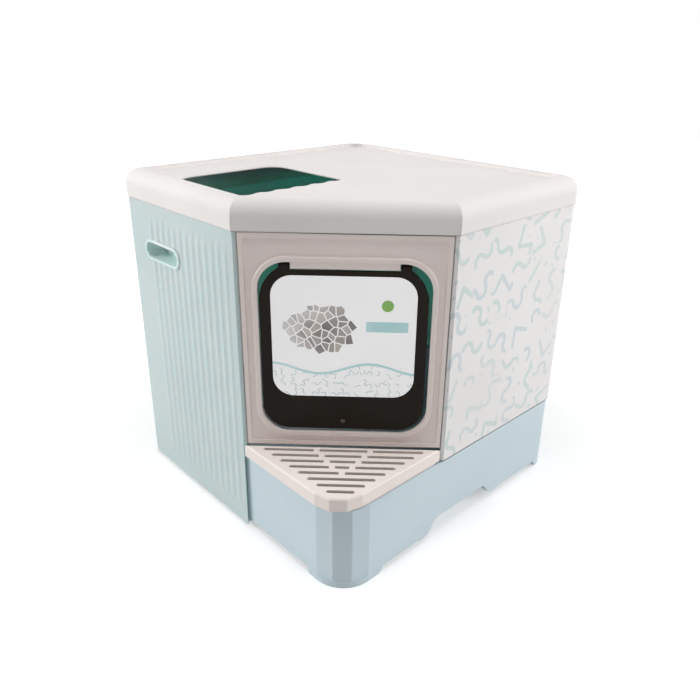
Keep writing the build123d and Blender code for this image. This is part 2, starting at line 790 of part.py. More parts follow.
# Grate: slotted step with a skirt and a lip that drops inside the drawer
grate_foot = drawer_top + grate_gap
grate_skirt = drawer_wall + grate_lip_play + grate_lip_wall
lip_outline = grate_outline(-drawer_side, -sheet, drawer_corner)
with BuildPart() as grate:
    with BuildSketch(Plane.XY.offset(grate_foot)):
        add(grate_outline(-sheet, grate_front_inset - sheet, grate_corner))
    extrude(amount=grate_top - grate_foot)
    chamfer(grate.faces().sort_by(Axis.Z)[-1].edges(), length=grate_edge_slope)
    chamfer(grate.faces().sort_by(Axis.Z)[0].edges(), length=grate_shadow_slope)
    with BuildSketch(Plane.XY.offset(grate_foot + grate_shadow_slope)):
        add(lip_outline)
        offset(amount=-drawer_wall - grate_lip_play)
    extrude(amount=-grate_lip_drop - grate_shadow_slope)
    with BuildSketch(Plane.XY.offset(grate_top - grate_deck)):
        add(lip_outline)
        offset(amount=-grate_skirt)
    extrude(amount=-height, mode=Mode.SUBTRACT)
    with BuildSketch(Plane(origin=(*facet_point(0, 0), grate_top), x_dir=(1, -1, 0), z_dir=(0, 0, 1))):
        for row in range(slot_rows):
            reach = slot_reach - row * slot_pitch
            middle = slot_middle_reach - row * slot_middle_step
            back = -slot_first - row * slot_pitch
            with Locations((0, back)):
                add(slot_outline(2 * reach))
            if row < slot_divided_rows:
                with Locations((-middle - slot_bridge / 2, back), (middle + slot_bridge / 2, back)):
                    Rectangle(slot_bridge, 2 * slot_width, mode=Mode.SUBTRACT)
            if row == slot_divided_rows:
                with Locations((0, back)):
                    Rectangle(slot_bridge, 2 * slot_width, mode=Mode.SUBTRACT)
    extrude(amount=-overrun, mode=Mode.SUBTRACT)
grate.part.label = "grate"
export_step(grate.part, "parts/grate.step")

# Flap: leaf with an ear each side of the header and a knuckle on each ear
flap_front = facet.offset(flap_wall / 2 - hinge_depth)
flap_middle = (flap_top + flap_bottom) / 2
ear_end = header_width / 2 + flap_header_gap
with BuildPart() as flap:
    with BuildSketch(flap_front) as leaf:
        with Locations((flap_shift, flap_middle)):
            Rectangle(flap_width, flap_top - flap_bottom)
        fillet(leaf.vertices().group_by(Axis.Y)[-1], radius=flap_head_corner)
        fillet(leaf.vertices().group_by(Axis.Y)[0], radius=flap_corner)
        with Locations((0, leaf_head)):
            Rectangle(2 * ear_end, height, align=(Align.CENTER, Align.MIN), mode=Mode.SUBTRACT)
    extrude(amount=-flap_wall)
    for end in (-1, 1):
        with BuildSketch(hinge.offset(end * ear_end)):
            with Locations((hinge_depth, 0)):
                Circle(knuckle_radius)
        extrude(amount=end * knuckle_length)
        with BuildSketch(hinge.offset(end * ear_end)):
            with Locations((hinge_depth, 0)):
                Circle(pin_radius + pin_seat_clearance)
        extrude(amount=end * (pin_seat + pin_end_gap), mode=Mode.SUBTRACT)
    with BuildSketch(flap_front):
        with Locations((flap_shift, stud_level)):
            Circle(stud_shank_radius + pin_seat_clearance)
    extrude(amount=-overrun, mode=Mode.SUBTRACT)
flap.part.label = "flap"
export_step(flap.part, "parts/flap.step")

# Hinge pins: one in each ear, running in the header
with BuildPart() as hinge_pins:
    for end in (-1, 1):
        with BuildSketch(hinge.offset(end * (header_width / 2 - pin_engagement))):
            with Locations((hinge_depth, 0)):
                Circle(pin_radius)
        extrude(amount=end * (pin_engagement + flap_header_gap + pin_seat))
hinge_pins.part.label = "hinge_pins"
export_step(hinge_pins.part, "parts/hinge_pins.step")

# Label: thin sheet on the flap's outer face
with BuildPart() as flap_label:
    with BuildSketch(flap_front):
        with Locations((flap_shift, label_bottom + label_height / 2)):
            RectangleRounded(label_width, label_height, label_corner)
    extrude(amount=label_sheet)
flap_label.part.label = "flap_label"
export_step(flap_label.part, "parts/flap_label.step")

# Stud at the flap's foot
with BuildPart() as flap_stud:
    with BuildSketch(flap_front):
        with Locations((flap_shift, stud_level)):
            Circle(stud_radius)
    extrude(amount=stud_rise)
    with BuildSketch(flap_front):
        with Locations((flap_shift, stud_level)):
            Circle(stud_shank_radius)
    extrude(amount=-flap_wall)
flap_stud.part.label = "flap_stud"
export_step(flap_stud.part, "parts/flap_stud.step")
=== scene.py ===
"""Dresses the covered litter box and sets up its studio.

Lengths are metres in the CAD model's frame: +Z is up, the drawer faces -Y, the ribbed left wall is at -X and
the doorway crosses the cut corner between them.
"""

import logging
import math
from dataclasses import dataclass
from enum import Enum
from typing import Any

import bpy
from mathutils import Matrix, Vector


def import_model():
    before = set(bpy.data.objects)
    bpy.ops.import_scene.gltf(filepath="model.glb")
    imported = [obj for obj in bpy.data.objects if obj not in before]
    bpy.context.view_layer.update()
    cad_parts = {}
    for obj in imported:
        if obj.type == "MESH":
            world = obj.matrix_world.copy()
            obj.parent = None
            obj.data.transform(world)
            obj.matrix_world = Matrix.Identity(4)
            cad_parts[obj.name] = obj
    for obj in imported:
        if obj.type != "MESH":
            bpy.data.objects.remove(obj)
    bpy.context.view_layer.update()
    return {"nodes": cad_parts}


LOG = logging.getLogger("litter_box")
DIAGONAL = math.sqrt(0.5)  # share of a length on the diagonal that lies along each axis
MIX_COLOUR_INPUTS = (0, 6, 7)  # places of a Mix node's factor and its two colours
MIX_VALUE_INPUTS = (0, 2, 3)  # the same for plain values
MIX_COLOUR_OUTPUT = 2
Colour = tuple[float, float, float]
Pair = tuple[float, float]
Socket = bpy.types.NodeSocket


def srgb(red: float, green: float, blue: float) -> Colour:
    """Turns screen levels into a scene colour.

    Args:
        red: Red level, 0 to 255.
        green: Green level, 0 to 255.
        blue: Blue level, 0 to 255.

    Returns:
        The linear colour.
    """
    levels = (red / 255, green / 255, blue / 255)
    return tuple(v / 12.92 if v <= 0.04045 else ((v + 0.055) / 1.055) ** 2.4 for v in levels)


class Wiring:
    """Adds the nodes of one tree and joins them."""

    def __init__(self, tree: bpy.types.NodeTree) -> None:
        """Keeps the tree."""
        self.tree = tree

    def add(self, kind: str, **settings: Any) -> bpy.types.Node:
        """Adds a node.

        Args:
            kind: Blender's name of the node type.
            **settings: Properties to set on it.

        Returns:
            The node.
        """
        node = self.tree.nodes.new(kind)
        for name, value in settings.items():
            setattr(node, name, value)
        return node

    def feed(self, socket: Socket, value: Any) -> None:
        """Links a socket into an input, or sets a plain value on it.

        Args:
            socket: The input.
            value: A socket, a number, a vector or a colour.
        """
        if isinstance(value, bpy.types.NodeSocket):
            self.tree.links.new(value, socket)
        elif socket.type == "RGBA" and len(value) == 3:
            socket.default_value = (*value, 1.0)
        else:
            socket.default_value = value

    def feed_all(self, node: bpy.types.Node, values: dict[str, Any]) -> None:
        """Feeds a node's inputs by their names.

        Args:
            node: The node.
            values: Sockets or plain values.
        """
        for name, value in values.items():
            self.feed(node.inputs[name], value)

    def feed_in_order(self, node: bpy.types.Node, values: tuple[Any, ...]) -> bpy.types.Node:
        """Feeds a node's first inputs one after another.

        Args:
            node: The node.
            values: Sockets or plain values.

        Returns:
            The node.
        """
        for socket, value in zip(node.inputs, values):
            self.feed(socket, value)
        return node

    def math(self, operation: str, *values: Any, clamp: bool = False) -> Socket:
        """Adds a Math node.

        Args:
            operation: Blender's name of the operation.
            *values: Its inputs, sockets or numbers.
            clamp: Whether the result is kept between 0 and 1.

        Returns:
            The result.
        """
        node = self.add("ShaderNodeMath", operation=operation, use_clamp=clamp)
        return self.feed_in_order(node, values).outputs[0]

    def vector(self, operation: str, *values: Any) -> Socket:
        """Adds a Vector Math node.

        Args:
            operation: Blender's name of the operation.
            *values: Its inputs, sockets or vectors.

        Returns:
            The resulting vector.
        """
        node = self.add("ShaderNodeVectorMath", operation=operation)
        return self.feed_in_order(node, values).outputs["Vector"]

    def length(self, vector: Any) -> Socket:
        """Gives the length of a vector."""
        node = self.add("ShaderNodeVectorMath", operation="LENGTH")
        return self.feed_in_order(node, (vector,)).outputs["Value"]

    def mix(self, factor: Any, first: Any, second: Any) -> Socket:
        """Mixes two colours.

        Args:
            factor: Share of the second colour.
            first: First colour.
            second: Second colour.

        Returns:
            The mixed colour.
        """
        node = self.add("ShaderNodeMix", data_type="RGBA")
        for index, value in zip(MIX_COLOUR_INPUTS, (factor, first, second)):
            self.feed(node.inputs[index], value)
        return node.outputs[MIX_COLOUR_OUTPUT]

    def choose(self, test: Socket, first: Any, second: Any) -> Socket:
        """Takes the first value where the test is 1 and the second where it is 0.

        Args:
            test: 0 or 1.
            first: Value for 1.
            second: Value for 0.

        Returns:
            The chosen value.
        """
        node = self.add("ShaderNodeMix", data_type="FLOAT")
        for index, value in zip(MIX_VALUE_INPUTS, (test, second, first)):
            self.feed(node.inputs[index], value)
        return node.outputs[0]

    def ramp(self, value: Any, low: Any, high: Any, start: float = 0.0, end: float = 1.0) -> Socket:
        """Goes smoothly from one level to another.

        Args:
            value: The value to read.
            low: Where the change starts.
            high: Where it ends.
            start: Level up to low.
            end: Level from high on.

        Returns:
            The level.
        """
        node = self.add("ShaderNodeMapRange", interpolation_type="SMOOTHSTEP")
        return self.feed_in_order(node, (value, low, high, start, end)).outputs[0]

    def noise(self, vector: Any, scale: Any, detail: float) -> Socket:
        """Adds a noise texture.

        Args:
            vector: Coordinates.
            scale: Features a metre.
            detail: Octaves.

        Returns:
            The noise, about 0 to 1.
        """
        node = self.add("ShaderNodeTexNoise")
        self.feed_all(node, {"Vector": vector, "Scale": scale, "Detail": detail})
        return node.outputs[0]

    def cells(self, vector: Any, scale: Any, **settings: Any) -> bpy.types.Node:
        """Adds a flat Voronoi texture.

        Args:
            vector: Coordinates.
            scale: Cells a metre.
            **settings: Properties to set on it.

        Returns:
            The node.
        """
        node = self.add("ShaderNodeTexVoronoi", voronoi_dimensions="2D", **settings)
        self.feed_all(node, {"Vector": vector, "Scale": scale})
        return node

    def combine(self, x: Any, y: Any, z: Any = 0.0) -> Socket:
        """Makes a vector of three values."""
        return self.feed_in_order(self.add("ShaderNodeCombineXYZ"), (x, y, z)).outputs[0]

    def split(self, vector: Any) -> tuple[Socket, Socket, Socket]:
        """Gives the three values of a vector."""
        return tuple(self.feed_in_order(self.add("ShaderNodeSeparateXYZ"), (vector,)).outputs)

    def along_doorway(self, x: Socket, y: Socket) -> Socket:
        """Gives the distance along the cut corner's face from its middle."""
        return self.math("MULTIPLY", self.math("SUBTRACT", x, y), DIAGONAL)


def new_material(name: str) -> tuple[bpy.types.Material, Wiring, bpy.types.Node]:
    """Makes a material with a principled shader.

    Args:
        name: Name of the material.

    Returns:
        The material, its wiring and its shader.
    """
    material = bpy.data.materials.new(name)
    material.use_nodes = True
    return material, Wiring(material.node_tree), material.node_tree.nodes["Principled BSDF"]


class Effect(Enum):
    """Shader node groups that several finishes share."""

    MOULDED_SKIN = "moulded_skin"
    STROKE_PRINT = "stroke_print"


def start_effect(effect: Effect, inputs: dict[str, str], outputs: dict[str, str]) -> tuple[Wiring, Any, Any]:
    """Opens a new node group.

    Args:
        effect: Which group.
        inputs: Input names with their socket types.
        outputs: Output names with their socket types.

    Returns:
        The wiring, the group's inner inputs and its inner outputs.
    """
    tree = bpy.data.node_groups.new(effect.value, "ShaderNodeTree")
    for way, sockets in (("INPUT", inputs), ("OUTPUT", outputs)):
        for name, kind in sockets.items():
            tree.interface.new_socket(name, in_out=way, socket_type=kind)
    wiring = Wiring(tree)
    return wiring, wiring.add("NodeGroupInput").outputs, wiring.add("NodeGroupOutput").inputs


def place_effect(wiring: Wiring, effect: Effect, values: dict[str, Any]) -> bpy.types.NodeOutputs:
    """Places a shared group in a material.

    Args:
        wiring: The material's tree.
        effect: Which group.
        values: Its inputs.

    Returns:
        The group's outputs.
    """
    node = wiring.add("ShaderNodeGroup", node_tree=bpy.data.node_groups[effect.value])
    wiring.feed_all(node, values)
    return node.outputs


@dataclass(frozen=True)
class MouldedSkin:
    """Moulded plastic: faint clouds of shade, uneven gloss and a fine grain."""

    cloud_octaves: float = 3.0
    cloud_band: Pair = (0.35, 0.75)
    cloud_share: float = 0.6
    grain_octaves: float = 2.0
    speck_band: Pair = (0.55, 0.8)
    speck_share: float = 0.25

    def build(self) -> None:
        """Builds the node group."""
        value = "NodeSocketFloat"
        wiring, given, made = start_effect(
            Effect.MOULDED_SKIN,
            {"Vector": "NodeSocketVector", "Colour": "NodeSocketColor", "Shade": "NodeSocketColor",
             "Cloud Scale": value, "Grain Scale": value, "Roughness": value, "Roughness Spread": value},
            {"Colour": "NodeSocketColor", "Roughness": value, "Height": value},
        )
        clouds = wiring.noise(given["Vector"], given["Cloud Scale"], self.cloud_octaves)
        patch = wiring.math("MULTIPLY", wiring.ramp(clouds, *self.cloud_band), self.cloud_share)
        grain = wiring.noise(given["Vector"], given["Grain Scale"], self.grain_octaves)
        speck = wiring.math("MULTIPLY", wiring.ramp(grain, *self.speck_band), self.speck_share)
        share = wiring.math("MAXIMUM", patch, speck)
        wiring.feed(made["Colour"], wiring.mix(share, given["Colour"], given["Shade"]))
        swing = wiring.math("MULTIPLY", wiring.math("SUBTRACT", clouds, 0.5), given["Roughness Spread"])
        wiring.feed(made["Roughness"], wiring.math("ADD", swing, given["Roughness"], clamp=True))
        wiring.feed(made["Height"], grain)


@dataclass(frozen=True)
class StrokePrint:
    """Printed strokes: a chain of arcs or of straight legs in each cell of a loose grid, turned at random."""

    jitter: float = 0.45
    redraw: float = 7.31  # draws another random value from a cell's second one
    least_bend: float = 0.95  # half of the angle that the flattest arcs turn
    bend_spread: float = 0.85
    leg_share: float = 0.2
    leg_run: float = 0.5  # half of a leg along its chain, in links
    leg_rise: float = 0.62
    brush_waves: float = 1.6  # swellings of a stroke in a cell
    brush_octaves: float = 1.0
    least_width: float = 0.55
    width_spread: float = 0.9
    crisp_share: float = 0.82  # part of a stroke's width that is fully inked

    def build(self) -> None:
        """Builds the node group."""
        value = "NodeSocketFloat"
        wiring, given, made = start_effect(
            Effect.STROKE_PRINT,
            {"Vector": "NodeSocketVector", "Cell": value, "Arc Length": value, "Most Arcs": value,
             "Half Width": value},
            {"Mask": value, "Gap": value, "Pick": value},
        )
        step = given["Arc Length"]
        cells = wiring.cells(given["Vector"], wiring.math("DIVIDE", 1.0, given["Cell"]))
        cells.inputs["Randomness"].default_value = self.jitter
        flat = wiring.vector("MULTIPLY", given["Vector"], (1.0, 1.0, 0.0))
        first, second, third = wiring.split(cells.outputs["Color"])
        turn = wiring.add("ShaderNodeVectorRotate", rotation_type="Z_AXIS")
        wiring.feed_all(turn, {
            "Vector": wiring.vector("SUBTRACT", flat, cells.outputs["Position"]),
            "Angle": wiring.math("MULTIPLY", first, 2 * math.pi),
        })
        along, across, _ = wiring.split(turn.outputs[0])
        fourth = wiring.math("FRACT", wiring.math("MULTIPLY", second, self.redraw))
        last = wiring.math("FLOOR", wiring.math("MULTIPLY", fourth, given["Most Arcs"]))
        start = wiring.math("MULTIPLY", wiring.math("MULTIPLY", last, step), -0.5)
        run = wiring.math("SUBTRACT", along, start)
        here = self.link_within(wiring, wiring.math("ROUND", wiring.math("DIVIDE", run, step)), last)
        side = wiring.math("SIGN", wiring.math("SUBTRACT", run, wiring.math("MULTIPLY", here, step)))
        beside = self.link_within(wiring, wiring.math("ADD", here, side), last)
        bend = wiring.math("MULTIPLY_ADD", third, self.bend_spread, self.least_bend)
        places = [self.link_place(wiring, run, across, number, step) for number in (here, beside)]
        arcs = [self.arc_gap(wiring, *place, step, bend) for place in places]
        legs = [self.leg_gap(wiring, *place, step) for place in places]
        is_legs = wiring.math("LESS_THAN", second, self.leg_share)
        gap = wiring.choose(is_legs, wiring.math("MINIMUM", *legs), wiring.math("MINIMUM", *arcs))
        waves = wiring.math("DIVIDE", self.brush_waves, given["Cell"])
        brush = wiring.noise(given["Vector"], waves, self.brush_octaves)
        swell = wiring.math("MULTIPLY_ADD", brush, self.width_spread, self.least_width)
        width = wiring.math("MULTIPLY", given["Half Width"], swell)
        bare = wiring.ramp(gap, wiring.math("MULTIPLY", width, self.crisp_share), width)
        wiring.feed(made["Mask"], wiring.math("SUBTRACT", 1.0, bare))
        wiring.feed(made["Gap"], gap)
        wiring.feed(made["Pick"], third)

    @staticmethod
    def link_within(wiring: Wiring, number: Socket, last: Socket) -> Socket:
        """Keeps a link's number between 0 and that of the chain's last link."""
        return wiring.math("MAXIMUM", wiring.math("MINIMUM", number, last), 0.0)

    @staticmethod
    def link_place(
        wiring: Wiring, run: Socket, across: Socket, number: Socket, step: Socket,
    ) -> tuple[Socket, Socket]:
        """Gives a point's place beside one link of a chain, whose links turn over in turn.

        Args:
            wiring: Tree to work in.
            run: Distance along the chain from its first link's middle.
            across: Distance from the chain's line.
            number: Which link.
            step: Length of a link.

        Returns:
            The distance along from the link's middle, and the distance across on the link's own side.
        """
        offset = wiring.math("SUBTRACT", run, wiring.math("MULTIPLY", number, step))
        odd = wiring.math("MODULO", number, 2.0)
        flip = wiring.math("MULTIPLY_ADD", odd, -2.0, 1.0)
        return offset, wiring.math("MULTIPLY", across, flip)

    @staticmethod
    def arc_gap(wiring: Wiring, offset: Socket, height: Socket, step: Socket, bend: Socket) -> Socket:
        """Gives the distance from a point to an arc.

        Args:
            wiring: Tree to work in.
            offset: Distance along from the arc's middle.
            height: Distance across from its chord.
            step: Chord of the arc.
            bend: Half of the angle that it turns.

        Returns:
            The distance.
        """
        beside = wiring.math("ABSOLUTE", offset)
        sine = wiring.math("SINE", bend)
        cosine = wiring.math("COSINE", bend)
        half = wiring.math("MULTIPLY", step, 0.5)
        radius = wiring.math("DIVIDE", half, sine)
        rise = wiring.math("MULTIPLY_ADD", radius, cosine, height)
        sideways = wiring.math("MULTIPLY", cosine, beside)
        past = wiring.math("GREATER_THAN", sideways, wiring.math("MULTIPLY", sine, rise))
        end_gap = wiring.length(wiring.combine(wiring.math("SUBTRACT", beside, half), height))
        from_middle = wiring.length(wiring.combine(beside, rise))
        round_gap = wiring.math("ABSOLUTE", wiring.math("SUBTRACT", from_middle, radius))
        return wiring.choose(past, end_gap, round_gap)

    def leg_gap(self, wiring: Wiring, offset: Socket, height: Socket, step: Socket) -> Socket:
        """Gives the distance from a point to a slanted leg.

        Args:
            wiring: Tree to work in.
            offset: Distance along from the leg's middle.
            height: Distance across from its chain's line.
            step: Length that the leg covers along that line.

        Returns:
            The distance.
        """
        reach = math.hypot(self.leg_run, self.leg_rise)
        slant = (self.leg_run / reach, self.leg_rise / reach)
        half = wiring.math("MULTIPLY", step, reach)
        climb = wiring.math("MULTIPLY", height, slant[1])
        place = wiring.math("MULTIPLY_ADD", offset, slant[0], climb)
        least = wiring.math("MULTIPLY", half, -1.0)
        held = wiring.math("MAXIMUM", wiring.math("MINIMUM", place, half), least)
        near_x = wiring.math("SUBTRACT", offset, wiring.math("MULTIPLY", held, slant[0]))
        near_y = wiring.math("SUBTRACT", height, wiring.math("MULTIPLY", held, slant[1]))
        return wiring.length(wiring.combine(near_x, near_y))


@dataclass(frozen=True)
class MouldedFinish:
    """Moulded plastic in one colour."""

    name: str
    colour: Colour
    shade: Colour
    roughness: float = 0.42
    roughness_spread: float = 0.16
    cloud_scale: float = 9.0
    grain_scale: float = 900.0
    grain_depth: float = 0.00002
    grain_strength: float = 0.25
    edge_round: float = 0.0007
    edge_samples: int = 4
    specular: float = 0.4
    sink: float = 0.0  # share of the light that goes in and comes out elsewhere
    sink_reach: tuple[float, float, float] = (0.0012, 0.0050, 0.0042)  # metres for red, green and blue
    # painted light: the surface glows in its own colour with this strength, though it is no lamp
    glow: float = 0.0

    def ground(self, wiring: Wiring, coordinates: Socket) -> Any:
        """Gives the colour under the moulded effect, plain here and printed in some finishes."""
        return self.colour

    def material(self) -> bpy.types.Material:
        """Builds the material.

        Returns:
            The material, ready to assign.
        """
        material, wiring, shader = new_material(self.name)
        coordinates = wiring.add("ShaderNodeTexCoord").outputs["Object"]
        skin = place_effect(wiring, Effect.MOULDED_SKIN, {
            "Vector": coordinates, "Colour": self.ground(wiring, coordinates), "Shade": self.shade,
            "Cloud Scale": self.cloud_scale, "Grain Scale": self.grain_scale,
            "Roughness": self.roughness, "Roughness Spread": self.roughness_spread,
        })
        bevel = wiring.add("ShaderNodeBevel", samples=self.edge_samples)
        wiring.feed_all(bevel, {"Radius": self.edge_round})
        bump = wiring.add("ShaderNodeBump")
        wiring.feed_all(bump, {
            "Strength": self.grain_strength, "Distance": self.grain_depth, "Height": skin["Height"],
            "Normal": bevel.outputs[0],
        })
        wiring.feed_all(shader, {
            "Base Color": skin["Colour"], "Roughness": skin["Roughness"], "Normal": bump.outputs[0],
            "Specular IOR Level": self.specular, "Subsurface Weight": self.sink,
            "Subsurface Radius": self.sink_reach, "Subsurface Scale": 1.0, "Emission Strength": self.glow,
        })
        # painted light: a glowing finish emits its own colour
        if self.glow:
            wiring.feed(shader.inputs["Emission Color"], skin["Colour"])
        return material


@dataclass(frozen=True)
class WallFinish(MouldedFinish):
    """Thin moulded wall, deeper in colour on its inner faces: painted light there stands in for the light
    that comes through the wall.
    """

    # painted light: the inner faces' colour stands in for light that comes through the wall
    inner: Colour = srgb(200, 239, 231)
    half_side: float = 0.1988
    rear_corner: float = 0.018
    far_corner: float = 0.040
    facet: float = 0.1664
    skin: float = 0.002
    skin_fade: float = 0.0006

    def ground(self, wiring: Wiring, coordinates: Socket) -> Socket:
        """Changes to the inner colour, painted light, below the outer skin of the square housing and of its
        cut corner.

        Args:
            wiring: Tree to work in.
            coordinates: Place on the piece.

        Returns:
            The colour.
        """
        x, y, _ = wiring.split(coordinates)
        is_far = wiring.math("GREATER_THAN", wiring.math("MINIMUM", x, y), 0.0)
        corner = wiring.math("MULTIPLY_ADD", is_far, self.far_corner - self.rear_corner, self.rear_corner)
        core = wiring.math("SUBTRACT", self.half_side, corner)
        past = [wiring.math("SUBTRACT", wiring.math("ABSOLUTE", value), core) for value in (x, y)]
        beyond = wiring.vector("MAXIMUM", wiring.combine(*past), (0.0, 0.0, 0.0))
        depth = wiring.math("SUBTRACT", corner, wiring.length(beyond))
        facet_depth = wiring.math("MULTIPLY_ADD", wiring.math("ADD", x, y), DIAGONAL, self.facet)
        nearest = wiring.math("MINIMUM", depth, facet_depth)
        painted_light_share = wiring.ramp(nearest, self.skin, self.skin + self.skin_fade)
        # painted light: past the skin depth the colour turns to the inner one
        return wiring.mix(painted_light_share, self.colour, self.inner)


@dataclass(frozen=True)
class PrintedFinish(MouldedFinish):
    """White panel printed with loose pastel strokes and small specks, with a painted shadow line along its
    foot, where the gap above the drawer is in shade.
    """

    mint: Colour = srgb(208, 221, 217)
    blue: Colour = srgb(210, 218, 222)
    blue_from: float = 0.62  # strokes whose random pick lies above are blue
    # painted shadow strip along the foot: its colour, the foot's height and the strip's width above it
    painted_shadow_colour: Colour = srgb(120, 112, 110)
    foot: float = 0.102
    painted_shadow_width: float = 0.0008
    cell: float = 0.037
    arc: float = 0.0165
    most_arcs: float = 4.99
    half_width: float = 0.0030
    speck_cell: float = 0.021
    speck_arc: float = 0.0045
    speck_most_arcs: float = 1.0
    speck_half_width: float = 0.0017
    speck_share: float = 0.45
    speck_clear: float = 0.0095
    front: float = -0.1988

    def ground(self, wiring: Wiring, coordinates: Socket) -> Socket:
        """Wraps the strokes round the panel's two corners, lays them on its colour and paints a shadow strip
        along its foot.

        Args:
            wiring: Tree to work in.
            coordinates: Place on the piece.

        Returns:
            The colour.
        """
        x, y, z = wiring.split(coordinates)
        depth = wiring.math("SUBTRACT", y, self.front)
        round_corner = wiring.math("ADD", x, wiring.math("MULTIPLY", wiring.math("SIGN", x), depth))
        place = wiring.combine(round_corner, z)
        strokes = place_effect(wiring, Effect.STROKE_PRINT, {
            "Vector": place, "Cell": self.cell, "Arc Length": self.arc, "Most Arcs": self.most_arcs,
            "Half Width": self.half_width,
        })
        specks = place_effect(wiring, Effect.STROKE_PRINT, {
            "Vector": place, "Cell": self.speck_cell, "Arc Length": self.speck_arc,
            "Most Arcs": self.speck_most_arcs, "Half Width": self.speck_half_width,
        })
        lone = wiring.math("LESS_THAN", specks["Pick"], self.speck_share)
        clear = wiring.math("GREATER_THAN", strokes["Gap"], self.speck_clear)
        speck = wiring.math("MULTIPLY", wiring.math("MULTIPLY", lone, clear), specks["Mask"])
        is_blue = wiring.math("GREATER_THAN", strokes["Pick"], self.blue_from)
        ink = wiring.mix(is_blue, self.mint, self.blue)
        printed = wiring.mix(wiring.math("MAXIMUM", strokes["Mask"], speck), self.colour, ink)
        # painted shadow: a dark strip just above the panel's foot
        low = wiring.math("LESS_THAN", z, self.foot + self.painted_shadow_width)
        return wiring.mix(low, printed, self.painted_shadow_colour)


@dataclass(frozen=True)
class DoorFinish(MouldedFinish):
    """Moulded panel across the cut corner, with a painted shadow line along its edges, where the gaps round
    it are in shade.
    """

    # painted shadow strip round the panel's edges: its colour, the panel's outline, and the strip's width and
    # soft edge
    painted_shadow_colour: Colour = srgb(84, 72, 68)
    half_width: float = 0.110
    foot: float = 0.119
    head: float = 0.3674
    painted_shadow_width: float = 0.0009
    painted_shadow_fade: float = 0.0003

    def ground(self, wiring: Wiring, coordinates: Socket) -> Socket:
        """Darkens the outermost strip of the panel's face with painted shadow.

        Args:
            wiring: Tree to work in.
            coordinates: Place on the piece.

        Returns:
            The colour.
        """
        x, y, up = wiring.split(coordinates)
        beside = wiring.math("ABSOLUTE", wiring.along_doorway(x, y))
        past_side = wiring.math("SUBTRACT", beside, self.half_width - self.painted_shadow_width)
        middle, half_height = (self.head + self.foot) / 2, (self.head - self.foot) / 2
        above = wiring.math("ABSOLUTE", wiring.math("SUBTRACT", up, middle))
        past_end = wiring.math("SUBTRACT", above, half_height - self.painted_shadow_width)
        past = wiring.math("MAXIMUM", past_side, past_end)
        # painted shadow: the outermost strip turns dark
        return wiring.mix(wiring.ramp(past, 0.0, self.painted_shadow_fade), self.colour, self.painted_shadow_colour)


